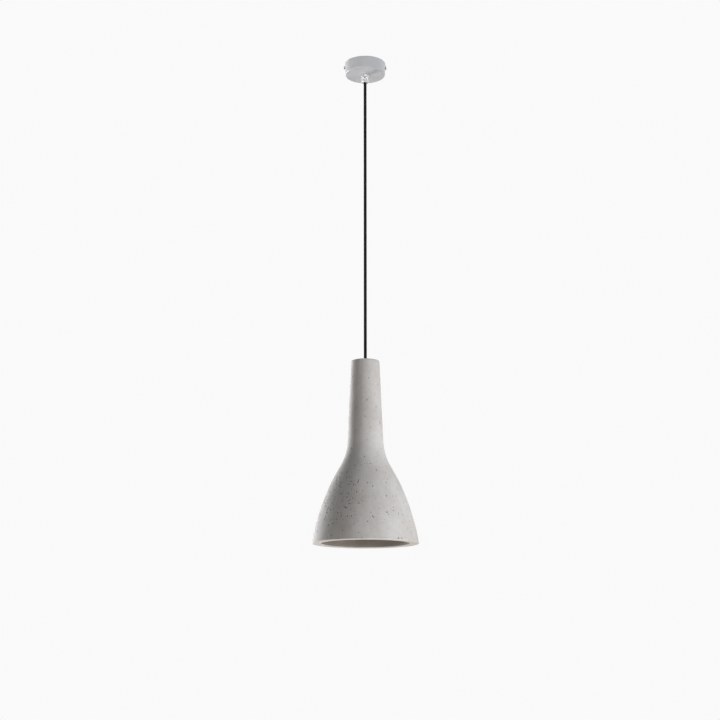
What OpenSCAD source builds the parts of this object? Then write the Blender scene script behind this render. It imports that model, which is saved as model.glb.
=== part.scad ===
// Pendant ceiling light: a cast concrete bell on a round cable, hung from a ceiling cup.
// The origin is on the ceiling, on the lamp's axis. +Z points up into the ceiling,
// and the cord grip's screw faces -Y. All sizes are in millimetres.

/* [Overall] */
// Distance from the ceiling down to the rim of the shade
overall_drop = 894; // [600:1:1500]

/* [Ceiling cup] */
// Radius of the cup where it meets the ceiling
canopy_r = 38; // [37:0.5:45]
// Radius of the cup at its flat underside
canopy_bottom_r = 37; // [36:0.5:44]
// Height of the cup
canopy_h = 22; // [21:0.5:30]
// Thickness of the cup's sheet steel
canopy_wall = 1; // [0.8:0.1:1.2]
// Radius of the cup's lower edge
canopy_edge_r = 1.6; // [1.2:0.1:3]
// Distance of the two side screws below the ceiling
side_screw_drop = 7; // [6:0.5:10]

/* [Ceiling bracket] */
// Distance between the centres of the two ceiling slots
slot_spacing = 40; // [38:1:44]
// Length of each slot, end to end
slot_l = 12; // [8:1:14]
// Width of each slot
slot_w = 5; // [4:0.5:5.5]
// Thickness of the bracket's steel
bracket_t = 1.5; // [1.2:0.1:2]
// Width of the bracket's strip
bracket_w = 22; // [20:1:24]

/* [Cord grip] */
// Radius of the clear grip below the cup
grip_r = 6.5; // [6:0.1:7.5]
// Length of the grip below the cup
grip_l = 15; // [13:1:20]
// Outer radius of the M10 thread
thread_r = 5; // [4.9:0.05:5]

/* [Cable] */
// Radius of the round cable
cable_r = 2.75; // [2.5:0.05:2.9]
// Gap between two neighbouring stretches of the cable
cable_gap = 0.3; // [0.3:0.05:0.5]

/* [Shade] */
// Height of the concrete shade
shade_h = 325; // [320:1:340]
// Outer radius at the rim
rim_r = 93; // [90:0.5:96]
// Lean of the outline at the rim, in degrees from vertical
rim_angle = 9; // [8:0.5:10]
// Radius of the bell's outward-curving outline
bell_arc_r = 386; // [380:1:392]
// Lean of the outline where the bell turns into the neck
flare_angle = 30.3; // [29:0.1:31]
// Radius of the inward-curving outline between bell and neck
flare_arc_r = 99; // [95:1:103]
// Lean of the neck, in degrees from vertical
neck_angle = 2.5; // [2:0.1:3]
// Thickness of the bell's wall
shade_wall = 16; // [14:0.5:17]
// Radius of the cast edges at the rim and the top
edge_r = 1.5; // [1:0.1:2.5]
// Radius of the pocket that holds the lampholder
pocket_r = 22; // [21.5:0.1:23]
// Height of the pocket's upper end above the rim
pocket_top = 190; // [188:1:192]

/* [Bulb] */
// Radius of the glass
bulb_r = 30; // [28:0.5:30]
// Length of the bulb with its cap
bulb_l = 105; // [103:0.5:108]

/* [Hidden] */
$fn = 96;
eps = 0.01;

// Levels on the axis, with the ceiling at 0.
rim_z = -overall_drop;
top_z = rim_z + shade_h;
grip_end_z = -canopy_h - grip_l;
swing_side_z = grip_end_z - 1;
swing_depth_z = swing_side_z - 16;
rock_side_z = top_z + 9;
rock_depth_z = top_z;
twist_z = top_z - 40;
cable_end_z = cable_r + cable_gap;

// Bracket, cup and their screws.
bracket_half_l = 34;
tab_h = 13;
tab_w = 14;
wing_half_w = 15;
wing_end_y = 27;
wire_hole_r = 5;
side_shank_r = 1.95;
side_head_r = 3.5;
side_head_h = 2.3;
canopy_floor = 1.2;
canopy_bore_r = thread_r + 0.25;
floor_z = -canopy_h + canopy_floor;

// Cord grip.
grip_bore_r = cable_r + 0.25;
grip_mouth_r = 4.3;
grip_mouth_h = 3;
grip_edge_r = 1;
grip_stub_l = 8.5;
grip_screw_z = -canopy_h - 7;
washer_t = 1;
nut_h = 3;
nut_flat = 14;

// Terminal block.
block_size = [30, 14, 12];
block_y = 19;
pole_x = [-10, 0, 10];
pole_w = 8;
web_t = 3;
pole_z = -8.5;
barrel_r = 2.5;
barrel_bore_r = 1.6;
block_screw_dy = 3.6;
block_fix_x = 5;
block_fix_r = 1.25;
block_fix_head_r = 1.8;
earth_pos = [10.2, -6];
earth_hole_r = 1.65;
tag_t = 0.8;

// Concrete outline, worked out from its tangent arcs: [radius, height above the rim].
bell_centre = [rim_r - bell_arc_r * cos(rim_angle), -bell_arc_r * sin(rim_angle)];
flare_start = bell_centre + bell_arc_r * [cos(flare_angle), sin(flare_angle)];
flare_centre = flare_start + flare_arc_r * [cos(flare_angle), sin(flare_angle)];
neck_start = flare_centre - flare_arc_r * [cos(neck_angle), sin(neck_angle)];
shade_top_r = neck_start.x - (shade_h - neck_start.y) * tan(neck_angle);
inner_arc_r = bell_arc_r - shade_wall;
inner_rim_angle = asin(-bell_centre.y / inner_arc_r);
inner_rim_r = bell_centre.x + inner_arc_r * cos(inner_rim_angle);
pocket_angle = acos((pocket_r - bell_centre.x) / inner_arc_r);
channel_r = 6;
recess_r = 13;
recess_floor = shade_h - 7;

// Lamp tube and lampholder, as heights above the rim.
flat_washer_t = 1.5;
tube_top = recess_floor + 5.2;
tube_bottom = 176;
tube_bore_r = 4;
lower_nut_bottom = pocket_top - flat_washer_t - nut_h;
cap_top = lower_nut_bottom - 0.5;
cap_bottom = 158;
holder_r = 20;
holder_bottom = 124;
insert_top = 163;
insert_bottom = 156.5;
shell_bottom = 132;
terminal_x = 10;
sheath_end = 168.5;

// Bulb, as heights above the rim.
bulb_top = 153.9;
bulb_end = bulb_top - bulb_l;
bulb_centre = bulb_end + bulb_r;
glass_t = 0.9;
neck_r = 13.4;
shoulder_angle = 38;
shoulder = [bulb_r * cos(shoulder_angle), bulb_centre + bulb_r * sin(shoulder_angle)];
neck_arc_r = (shoulder.x - neck_r) / (1 - cos(shoulder_angle));
neck_arc_h = shoulder.y + neck_arc_r * sin(shoulder_angle);
screw_pitch = 3.629;
screw_crest_r = 13.15;
screw_depth = 0.8;
foot_r = 11.7;
foot_top = 134;
stem_r = 2.6;
filament_count = 4;
filament_r = 0.9;
filament_l = 38;
filament_bottom = 62;
filament_ring_r = 8;
filament_lean = 6;
filament_tip = filament_bottom + filament_l * cos(filament_lean);
feed_ring = 60;
feed_r = 0.3;

// Routes of the insulated wires, as points chosen by hand.
live_route = [[-1.3, 0, -11.6], [-1.4, 0.5, -10], [-2.5, 2, -7], [-6.5, 6, -6], [-10, 9.5, -8],
    [-10, 12, -8.5], [-10, 15, -8.5]];
neutral_route = [[1.3, 0, -11.6], [1.4, 0.6, -10], [1.2, 3, -7.5], [0.4, 7, -6.5], [0, 10, -8],
    [0, 12, -8.5], [0, 15, -8.5]];
earth_route = [[10, 15, -8.5], [10, 12, -8.5], [10, 9, -7.6], [10.2, 5, -5.6], [10.2, 2, -3.8],
    [10.2, -0.5, -3]];
lead_route = [[1.3, 0, 168.2], [1.45, 0, 167.5], [2.4, 0, 166.4], [4.2, 0, 165.4], [6, 0, 165]];
wire_r = 1;

// A point on a circle, in the plane of an outline.
function on_arc(centre, r, angle) = centre + r * [cos(angle), sin(angle)];

// Points along a circle from one angle to another.
function arc(centre, r, from, to, steps) =
    [for (i = [0:steps]) on_arc(centre, r, from + (to - from) * i / steps)];

// A smooth curve through the points of a route, three steps to each stretch.
function between(a, b, c, d, t) =
    0.5 * (2 * b + (c - a) * t + (2 * a - 5 * b + 4 * c - d) * t ^ 2 + (3 * b - a - 3 * c + d) * t ^ 3);
function smooth(route, steps = 3) = [
    for (i = [0:len(route) - 2], k = [0:steps - 1])
        between(route[max(i - 1, 0)], route[i], route[i + 1], route[min(i + 2, len(route) - 1)], k / steps),
    route[len(route) - 1]
];
function unit(v) = v / norm(v);

// A closed tube along a route. Its rings stand square to the route.
module wire(route, r, sides = 8) {
    line = smooth(route);
    aside = [1, 0.9, -0.3];
    last = len(line) - 1;
    rings = [
        for (i = [0:last])
            let (along = unit(line[min(i + 1, last)] - line[max(i - 1, 0)]))
            let (side = unit(cross(along, aside)))
            let (up = cross(along, side))
            for (k = [0:sides - 1])
                line[i] + r * (cos(360 * k / sides) * side + sin(360 * k / sides) * up)
    ];
    walls = [
        for (i = [0:last - 1], k = [0:sides - 1])
            [i * sides + k, i * sides + (k + 1) % sides, (i + 1) * sides + (k + 1) % sides,
                (i + 1) * sides + k]
    ];
    first_end = [[for (k = [0:sides - 1]) sides - 1 - k]];
    last_end = [[for (k = [0:sides - 1]) last * sides + k]];
    polyhedron(rings, concat(walls, first_end, last_end));
}

// A straight stretch of cable between two levels, with a ball at its upper end if asked.
module cable(upper, lower, ball = false) {
    translate([0, 0, lower]) cylinder(r = cable_r, h = upper - lower);
    if (ball) translate([0, 0, upper]) sphere(r = cable_r);
}

// A ring with square edges, standing on its lower face.
module ring(outer, inner, h) {
    difference() {
        cylinder(r = outer, h = h);
        translate([0, 0, -1]) cylinder(r = inner, h = h + 2);
    }
}

// A hexagonal nut for the M10 thread, standing on its lower face.
module hex_nut() {
    difference() {
        cylinder(r = nut_flat / 2 / cos(30), h = nut_h, $fn = 6);
        translate([0, 0, -1]) cylinder(r = thread_r + 0.03, h = nut_h + 2);
    }
}

// A pan-head screw: the head's seat is at the origin, its head above, its shank below.
module pan_screw(head_r, head_h, shank_r, shank_l, slots = 1) {
    slot_width = head_r * 0.28;
    difference() {
        union() {
            rotate_extrude() polygon(concat(
                [[0, 0], [head_r, 0]],
                arc([head_r - head_h * 0.6, head_h * 0.4], head_h * 0.6, 0, 90, 6),
                [[0, head_h]]
            ));
            translate([0, 0, -shank_l]) cylinder(r = shank_r, h = shank_l + eps);
        }
        for (k = [0:slots - 1]) rotate([0, 0, 90 * k])
            translate([-head_r * 0.75, -slot_width / 2, head_h * 0.5])
                cube([head_r * 1.5, slot_width, head_h]);
    }
}

// Places a part that is drawn above the rim's plane.
module above_rim(h = 0) {
    translate([0, 0, rim_z + h]) children();
}

// ---- Ceiling side ----

module mounting_bracket() {
    color("silver") difference() {
        union() {
            translate([-bracket_half_l, -bracket_w / 2, -bracket_t])
                cube([2 * bracket_half_l, bracket_w, bracket_t]);
            translate([-wing_half_w, 0, -bracket_t])
                cube([2 * wing_half_w, wing_end_y, bracket_t]);
            for (side = [-1, 1])
                translate([side * (bracket_half_l - bracket_t / 2), 0, -tab_h / 2])
                    cube([bracket_t, tab_w, tab_h], center = true);
        }
        translate([0, 0, -bracket_t - 1]) cylinder(r = wire_hole_r, h = bracket_t + 2);
        for (side = [-1, 1]) {
            translate([side * slot_spacing / 2, 0, -bracket_t - 1]) ceiling_slot(bracket_t + 2);
            translate([side * bracket_half_l, 0, -side_screw_drop]) rotate([0, 90, 0])
                cylinder(r = side_shank_r + 0.05, h = 3 * bracket_t, center = true);
        }
        translate([block_fix_x, block_y, -bracket_t - 1])
            cylinder(r = block_fix_r + 0.05, h = bracket_t + 2);
        translate([earth_pos.x, earth_pos.y, -bracket_t - 1])
            cylinder(r = earth_hole_r, h = bracket_t + 2);
    }
}

// One slot for a ceiling screw, running along X.
module ceiling_slot(h) {
    run = slot_l - slot_w;
    for (side = [-1, 1]) translate([side * run / 2, 0, 0]) cylinder(r = slot_w / 2, h = h);
    translate([-run / 2, -slot_w / 2, 0]) cube([run, slot_w, h]);
}

module canopy() {
    taper = atan((canopy_r - canopy_bottom_r) / canopy_h);
    inner_edge_r = canopy_edge_r - canopy_wall;
    edge_x = canopy_bottom_r - canopy_edge_r;
    edge_z = -canopy_h + canopy_edge_r;
    color("gainsboro") difference() {
        rotate_extrude() polygon(concat(
            [[canopy_bore_r, floor_z], [canopy_bore_r, -canopy_h]],
            arc([edge_x, edge_z], canopy_edge_r, -90, -taper, 8),
            [[canopy_r, 0], [canopy_r - canopy_wall, 0]],
            arc([edge_x, floor_z + inner_edge_r], inner_edge_r, -taper, -90, 4)
        ));
        for (side = [-1, 1]) translate([side * canopy_r, 0, -side_screw_drop]) rotate([0, 90, 0])
            cylinder(r = side_shank_r + 0.3, h = 4 * canopy_wall, center = true);
    }
}

module canopy_side_screws() {
    color("lightgray") for (side = [0, 180]) rotate([0, 0, side])
        translate([canopy_r - 0.1, 0, -side_screw_drop]) rotate([0, 90, 0])
            pan_screw(side_head_r, side_head_h, side_shank_r, 8, 2);
}

module cord_grip_body() {
    color("white", 0.7) difference() {
        union() {
            rotate_extrude() polygon(concat(
                [[0, -canopy_h], [0, grip_end_z]],
                arc([grip_r - grip_edge_r, grip_end_z + grip_edge_r], grip_edge_r, -90, 0, 6),
                [[grip_r, -canopy_h]]
            ));
            translate([0, 0, -canopy_h - eps]) cylinder(r = thread_r, h = grip_stub_l + eps);
        }
        translate([0, 0, grip_end_z - 1]) cylinder(r = grip_bore_r, h = canopy_h + grip_l);
        translate([0, 0, grip_end_z - eps])
            cylinder(r1 = grip_mouth_r, r2 = grip_bore_r, h = grip_mouth_h);
        translate([0, 0, grip_screw_z]) rotate([90, 0, 0]) cylinder(r = 1.55, h = grip_r + 1);
    }
}

module cord_grip_washer() {
    color("silver") translate([0, 0, floor_z]) ring(8.5, thread_r + 0.1, washer_t);
}

module cord_grip_nut() {
    color("silver") translate([0, 0, floor_z + washer_t]) hex_nut();
}

module cord_grip_screw() {
    color("gray") translate([0, -grip_r, grip_screw_z]) rotate([90, 45, 0])
        pan_screw(1.9, 0.9, 1.5, grip_r - cable_r - 0.02);
}

module terminal_block() {
    color("whitesmoke") difference() {
        union() {
            translate([-block_size.x / 2, block_y - block_size.y / 2, -bracket_t - web_t])
                cube([block_size.x, block_size.y, web_t]);
            for (x = pole_x) translate([x, block_y, -bracket_t - block_size.z / 2])
                cube([pole_w, block_size.y, block_size.z], center = true);
        }
        for (x = pole_x) {
            translate([x, block_y, pole_z]) rotate([90, 0, 0])
                cylinder(r = barrel_r + 0.05, h = block_size.y + 2, center = true);
            for (side = [-1, 1])
                translate([x, block_y + side * block_screw_dy, -bracket_t - block_size.z - 1])
                    cylinder(r = 1.9, h = block_size.z + 1 + bracket_t + pole_z);
        }
        translate([block_fix_x, block_y, -bracket_t - web_t - 1])
            cylinder(r = block_fix_r + 0.05, h = web_t + 2);
        translate([block_fix_x, block_y, -bracket_t - web_t - block_size.z])
            cylinder(r = block_fix_head_r + 0.1, h = block_size.z);
    }
}

module terminal_barrels() {
    color("goldenrod") for (x = pole_x) difference() {
        translate([x, block_y, pole_z]) rotate([90, 0, 0])
            ring_centred(barrel_r, barrel_bore_r, block_size.y - 2);
        for (side = [-1, 1])
            translate([x, block_y + side * block_screw_dy, pole_z - barrel_r - 1])
                cylinder(r = 1.25, h = barrel_r + 1);
    }
}

// A ring centred on the origin, with its axis along Z.
module ring_centred(outer, inner, h) {
    translate([0, 0, -h / 2]) ring(outer, inner, h);
}

module terminal_screws() {
    color("silver") for (x = pole_x, side = [-1, 1])
        translate([x, block_y + side * block_screw_dy, -bracket_t - block_size.z + 1.2])
            rotate([180, 0, 0]) pan_screw(1.7, 1.1, 1.2, 2.7);
}

module block_fixing_screw() {
    color("silver") translate([block_fix_x, block_y, -bracket_t - web_t]) rotate([180, 0, 0])
        pan_screw(block_fix_head_r, 1.2, block_fix_r, web_t + bracket_t - 0.2);
}

module earth_screw() {
    color("goldenrod") translate([earth_pos.x, earth_pos.y, -bracket_t - tag_t])
        rotate([180, 0, 0]) pan_screw(3, 1.8, earth_hole_r - 0.05, bracket_t + tag_t - 0.2, 2);
}

module earth_tag() {
    color("silver") translate([earth_pos.x, earth_pos.y, -bracket_t - tag_t]) difference() {
        union() {
            cylinder(r = 3.1, h = tag_t - 0.02);
            translate([-1.3, 0, 0]) cube([2.6, 5.2, tag_t - 0.02]);
        }
        translate([0, 0, -1]) cylinder(r = 1.8, h = 3);
    }
}

module earth_wire() {
    color("yellowgreen") wire(earth_route, 0.9);
}

module live_wire() {
    color("saddlebrown") wire(live_route, wire_r);
}

module neutral_wire() {
    color("royalblue") wire(neutral_route, wire_r);
}

// ---- Cable, in stretches that turn on each other ----

module cable_in_canopy() {
    color("dimgray") cable(-12, swing_side_z + cable_end_z);
}

module cable_bend() {
    color("dimgray") cable(swing_side_z, swing_depth_z + cable_end_z, true);
}

module cable_drop() {
    color("dimgray") cable(swing_depth_z, rock_side_z + cable_end_z, true);
}

module cable_knuckle() {
    color("dimgray") cable(rock_side_z, rock_depth_z + cable_end_z, true);
}

module cable_entry() {
    color("dimgray") cable(rock_depth_z, twist_z, true);
}

module cable_in_shade() {
    color("dimgray") cable(twist_z - cable_gap, rim_z + sheath_end);
}

// ---- Shade and the fittings inside it ----

module concrete_shade() {
    color("darkgray") above_rim() rotate_extrude() polygon(concat(
        arc([rim_r - edge_r, edge_r], edge_r, -90, rim_angle, 6),
        arc(bell_centre, bell_arc_r, rim_angle + 0.5, flare_angle, 16),
        arc(flare_centre, flare_arc_r, 180 + flare_angle, 180 + neck_angle, 12),
        arc([shade_top_r - edge_r, shade_h - edge_r], edge_r, neck_angle, 90, 6),
        [[recess_r, shade_h], [recess_r, recess_floor], [channel_r, recess_floor]],
        [[channel_r, pocket_top], [pocket_r, pocket_top]],
        arc(bell_centre, inner_arc_r, pocket_angle, inner_rim_angle + 0.4, 18),
        arc([inner_rim_r + edge_r * 0.9, edge_r], edge_r, 180, 270, 6)
    ));
}

module threaded_tube() {
    color("silver") above_rim(tube_bottom) ring(thread_r, tube_bore_r, tube_top - tube_bottom);
}

module tube_bush() {
    sleeve_l = 6;
    color("black") above_rim(tube_top) difference() {
        union() {
            cylinder(r = 5.6, h = 1);
            translate([0, 0, -sleeve_l]) cylinder(r = tube_bore_r - 0.02, h = sleeve_l);
        }
        translate([0, 0, -sleeve_l - 1]) cylinder(r = 3.3, h = sleeve_l + 3);
    }
}

module top_washer() {
    color("silver") above_rim(recess_floor) ring(11, thread_r + 0.2, flat_washer_t);
}

module top_nut() {
    color("silver") above_rim(recess_floor + flat_washer_t) hex_nut();
}

module lower_washer() {
    color("silver") above_rim(pocket_top - flat_washer_t) ring(11, thread_r + 0.2, flat_washer_t);
}

module lower_nut() {
    color("silver") above_rim(lower_nut_bottom) hex_nut();
}

module lampholder_cap() {
    collar_r = 8.5;
    dome_top = 175;
    inner_top = 173;
    wall = 2;
    color([0.12, 0.12, 0.12]) above_rim() difference() {
        rotate_extrude() polygon(concat(
            [[thread_r + 0.05, cap_top], [thread_r + 0.05, inner_top], [collar_r - wall + 0.5, inner_top]],
            arc([collar_r - 1, cap_bottom + 5], holder_r - wall - collar_r + 1, 90, 0, 10),
            [[holder_r - wall, cap_bottom], [holder_r, cap_bottom]],
            arc([collar_r, cap_bottom + 5], holder_r - collar_r, 0, 90, 10),
            [[collar_r, cap_top]]
        ));
        translate([0, 0, 180]) rotate([90, 0, 0]) cylinder(r = 1.5, h = collar_r + 1);
    }
}

module cap_locking_screw() {
    color("silver") above_rim(180) translate([0, -8.5, 0]) rotate([90, 0, 0])
        pan_screw(2.4, 1.2, 1.45, 8.5 - thread_r - 0.05);
}

module strain_relief() {
    slit = 1.2;
    h = 3.6;
    color("whitesmoke") above_rim(sheath_end + 0.6) difference() {
        ring(6, cable_r + 0.03, h);
        translate([0, -slit / 2, -1]) cube([7, slit, h + 2]);
    }
}

module lampholder_body() {
    lip_h = 2;
    color([0.12, 0.12, 0.12]) above_rim() rotate_extrude() polygon(concat(
        [[16.9, cap_bottom], [16.9, holder_bottom + lip_h], [14.8, holder_bottom + lip_h]],
        [[14.8, holder_bottom]],
        arc([holder_r - 2, holder_bottom + 2], 2, -90, 0, 3),
        [[holder_r, cap_bottom - 0.05], [16.9, cap_bottom - 0.05]]
    ));
}

module contact_insert() {
    color("ivory") above_rim() difference() {
        union() {
            translate([0, 0, insert_bottom]) cylinder(r = 16.6, h = cap_bottom - insert_bottom + eps);
            translate([0, 0, cap_bottom]) cylinder(r = 17.7, h = insert_top - cap_bottom);
        }
        translate([0, 0, insert_bottom - 1]) cylinder(r = 1.6, h = 10);
        translate([-13.3, 0, insert_bottom - 1]) cylinder(r = 1.2, h = 10);
        for (side = [-1, 1]) translate([side * terminal_x, 0, insert_bottom + 2])
            cylinder(r = 1.5, h = 10);
    }
}

module centre_contact() {
    strip_t = 0.8;
    color("goldenrod") above_rim() difference() {
        union() {
            translate([0, 0, insert_bottom - 0.6]) cylinder(r = 1.5, h = 8);
            translate([0, -2.5, insert_top]) cube([terminal_x + 2.4, 5, strip_t]);
            translate([-6, 2.5, insert_bottom]) rotate([90, 0, 0]) linear_extrude(5)
                polygon([[0, 0], [7.6, 0], [7.6, -0.6], [0.9, -0.6], [5.4, -1.9], [8.2, -1.9],
                    [8.2, -2.5], [5.2, -2.5], [0, -0.9]]);
        }
        translate([terminal_x, 0, insert_top - 1]) cylinder(r = 1.5, h = 3);
    }
}

module side_contact() {
    strip_t = 0.8;
    color("goldenrod") above_rim() difference() {
        union() {
            translate([-13.3, 0, insert_bottom - 0.05]) cylinder(r = 1.1, h = 7);
            translate([-14.6, -2.5, insert_top]) cube([8.2, 5, strip_t]);
        }
        translate([-terminal_x, 0, insert_top - 1]) cylinder(r = 1.5, h = 3);
    }
}

// The lampholder's sheet-metal screw shell, wavy like the thread that it takes.
module threaded_shell() {
    inner = 13.45;
    sheet = 0.4;
    steps = 36;
    run = insert_bottom - 1 - shell_bottom;
    function wave(i) = 0.35 * (1 - cos(360 * i * run / steps / screw_pitch));
    color("khaki") above_rim() rotate_extrude() polygon(concat(
        [for (i = [0:steps]) [inner + wave(i), shell_bottom + i * run / steps]],
        [[inner - 1.5, insert_bottom - 0.7], [inner - 1.5, insert_bottom - 0.1]],
        [[15, insert_bottom - 0.1], [15, insert_bottom - 0.7]],
        [for (i = [steps:-1:0]) [inner + sheet + wave(i), shell_bottom + i * run / steps]]
    ));
}

module holder_screws() {
    color("silver") for (side = [-1, 1])
        above_rim(insert_top + 0.8) translate([side * terminal_x, 0, 0])
            pan_screw(2.8, 1.8, 1.45, 4.5, 2);
}

module live_lead() {
    color("saddlebrown") above_rim() wire(lead_route, wire_r);
}

module neutral_lead() {
    color("royalblue") above_rim() rotate([0, 0, 180]) wire(lead_route, wire_r);
}

// ---- Bulb ----

module bulb_contact() {
    color("lightgray") above_rim(bulb_top - 2) cylinder(r = 4.4, h = 2);
}

module bulb_insulator() {
    color([0.1, 0.1, 0.12]) above_rim() rotate_extrude() polygon([
        [0, 148], [11, 148], [11, 149.2], [6.2, 152.8], [4.45, 152.8], [4.45, bulb_top - 2.05],
        [0, bulb_top - 2.05]
    ]);
}

module bulb_cap() {
    thread_bottom = 132;
    thread_top = 148.4;
    steps = 30;
    run = thread_top - thread_bottom;
    wall = 0.4;
    function wave(i) = screw_depth / 2 * (1 - cos(360 * i * run / steps / screw_pitch));
    color("silver") above_rim() rotate_extrude() polygon(concat(
        [[13.1, 128], [13.9, 128], [13.9, 129.2], [13.2, thread_bottom - 0.8]],
        [for (i = [0:steps]) [screw_crest_r - wave(i), thread_bottom + i * run / steps]],
        [[11.3, 149.3], [11.05, 149.1], [11.05, 147.9]],
        [for (i = [steps:-1:0]) [screw_crest_r - wall - screw_depth, thread_bottom + i * run / steps - 0.5]],
        [[12.3, 130.4]]
    ));
}

module bulb_glass() {
    inner_r = bulb_r - glass_t;
    neck_centre = [shoulder.x + neck_arc_r * cos(shoulder_angle), neck_arc_h];
    color("aliceblue", 0.35) above_rim() rotate_extrude() polygon(concat(
        arc([0, bulb_centre], bulb_r, -90, shoulder_angle, 24),
        arc(neck_centre, neck_arc_r, 180 + shoulder_angle, 180, 10),
        [[neck_r, 127.6], [foot_r, 127.9], [foot_r, foot_top], [foot_r - glass_t, foot_top]],
        [[foot_r - glass_t, neck_arc_h]],
        arc(neck_centre, neck_arc_r + glass_t, 181, 180 + shoulder_angle, 10),
        arc([0, bulb_centre], inner_r, shoulder_angle, -90, 24)
    ));
}

module bulb_stem() {
    color("white", 0.5) above_rim() rotate_extrude() polygon([
        [0, foot_top], [10.6, foot_top], [10.6, 132.6], [5, 129], [3.2, 124], [stem_r, 112],
        [stem_r, 96], [1.2, 92], [0, 92]
    ]);
}

module bulb_filaments() {
    color("gold") above_rim(filament_bottom) for (k = [0:filament_count - 1])
        rotate([0, 0, 360 * (k + 0.5) / filament_count]) translate([filament_ring_r, 0, 0])
            rotate([0, -filament_lean, 0]) cylinder(r = filament_r, h = filament_l, $fn = 24);
}

// A ring with spokes feeds the filaments from below; short wires join their tips to the stem.
module filament_wires() {
    color("silver") above_rim() {
        for (k = [0:filament_count - 1]) rotate([0, 0, 360 * (k + 0.5) / filament_count]) {
            translate([stem_r + 0.08, 0, filament_tip + 0.5]) rotate([0, 90, 0])
                cylinder(r = feed_r, h = 1.6, $fn = 16);
            translate([0, -feed_r, feed_ring - 0.25]) cube([filament_ring_r + 0.4, 2 * feed_r, 0.5]);
        }
        translate([0, 0, feed_ring]) cylinder(r = 0.4, h = 31.95, $fn = 16);
        translate([0, 0, feed_ring]) ring_centred(filament_ring_r + 0.8, filament_ring_r, 0.5);
    }
}

mounting_bracket();
canopy();
canopy_side_screws();
cord_grip_body();
cord_grip_washer();
cord_grip_nut();
cord_grip_screw();
terminal_block();
terminal_barrels();
terminal_screws();
block_fixing_screw();
earth_screw();
earth_tag();
earth_wire();
live_wire();
neutral_wire();
cable_in_canopy();
cable_bend();
cable_drop();
cable_knuckle();
cable_entry();
concrete_shade();
threaded_tube();
tube_bush();
top_washer();
top_nut();
lower_washer();
lower_nut();
cable_in_shade();
lampholder_cap();
cap_locking_screw();
strain_relief();
lampholder_body();
contact_insert();
centre_contact();
side_contact();
threaded_shell();
holder_screws();
live_lead();
neutral_lead();
bulb_contact();
bulb_cap();
bulb_insulator();
bulb_glass();
bulb_stem();
bulb_filaments();
filament_wires();
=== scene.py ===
import math
import bmesh
import bpy
import numpy as np
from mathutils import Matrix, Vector


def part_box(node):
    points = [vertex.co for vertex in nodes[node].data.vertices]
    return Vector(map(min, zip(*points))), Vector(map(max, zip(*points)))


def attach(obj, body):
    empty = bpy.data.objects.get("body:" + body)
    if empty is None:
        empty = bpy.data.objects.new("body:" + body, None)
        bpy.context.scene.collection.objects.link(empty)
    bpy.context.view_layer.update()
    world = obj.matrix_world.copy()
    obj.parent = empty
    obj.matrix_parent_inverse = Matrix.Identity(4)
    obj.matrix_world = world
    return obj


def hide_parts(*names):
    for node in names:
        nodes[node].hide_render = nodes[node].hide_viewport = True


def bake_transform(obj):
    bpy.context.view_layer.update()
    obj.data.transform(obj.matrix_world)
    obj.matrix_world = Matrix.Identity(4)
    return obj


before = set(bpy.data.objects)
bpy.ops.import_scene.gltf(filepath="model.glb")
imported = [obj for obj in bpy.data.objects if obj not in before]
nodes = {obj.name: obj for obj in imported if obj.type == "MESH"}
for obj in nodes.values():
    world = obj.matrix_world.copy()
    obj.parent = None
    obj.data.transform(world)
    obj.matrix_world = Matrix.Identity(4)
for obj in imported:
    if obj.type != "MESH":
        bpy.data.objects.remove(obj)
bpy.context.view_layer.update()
mm = 0.001
random = np.random.default_rng(27)
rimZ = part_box("concrete_shade")[0].z    # the level of the shade's rim, in metres
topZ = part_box("concrete_shade")[1].z

# Camera: low, in front of the light and a little to its left, tilted up.

cameraPlace = {"distance": 2.421, "below": 0.219, "left": 0.0095, "tilt": 12.12, "lens": 69.5, "shift": 0.02}


def makeCamera():
    data = bpy.data.cameras.new("camera")
    data.lens = cameraPlace["lens"]
    data.sensor_width = 36
    data.shift_y = cameraPlace["shift"]
    camera = bpy.data.objects.new("camera", data)
    bpy.context.scene.collection.objects.link(camera)
    camera.location = (-cameraPlace["left"], -cameraPlace["distance"], rimZ - cameraPlace["below"])
    camera.rotation_euler = (math.radians(90 + cameraPlace["tilt"]), 0, 0)
    bpy.context.scene.camera = camera


makeCamera()
print("camera made")

# Mesh helpers.


def arcPoints(centre, radius, first, last, steps):
    # points on a circle, from the first angle to the last, in degrees
    angle = np.radians(np.linspace(first, last, steps + 1))
    return np.stack([centre[0] + radius * np.cos(angle), centre[1] + radius * np.sin(angle)], 1)


def line(start, end, steps):
    # evenly spaced points between two points of an outline, without the first and the last
    share = np.linspace(0, 1, steps + 1)[1:-1, None]
    return np.array(start) * (1 - share) + np.array(end) * share


def gridFaces(rows, columns, loopAlong, loopAround):
    # each face joins a point to its next neighbours along the rows and around the columns
    index = np.arange(rows * columns).reshape(rows, columns)
    above = np.roll(index, -1, 0)
    quads = np.stack([index, np.roll(index, -1, 1), np.roll(above, -1, 1), above], -1)
    if not loopAlong:
        quads = quads[:-1]
    if not loopAround:
        quads = quads[:, :-1]
    return quads.reshape(-1, 4)


def setMesh(mesh, points, quads):
    mesh.vertices.add(len(points))
    mesh.vertices.foreach_set("co", np.ascontiguousarray(points, np.float32).ravel())
    mesh.loops.add(quads.size)
    mesh.loops.foreach_set("vertex_index", np.ascontiguousarray(quads, np.int32).ravel())
    mesh.polygons.add(len(quads))
    mesh.polygons.foreach_set("loop_start", np.arange(0, quads.size, 4, dtype=np.int32))
    mesh.update(calc_edges=True)


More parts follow.
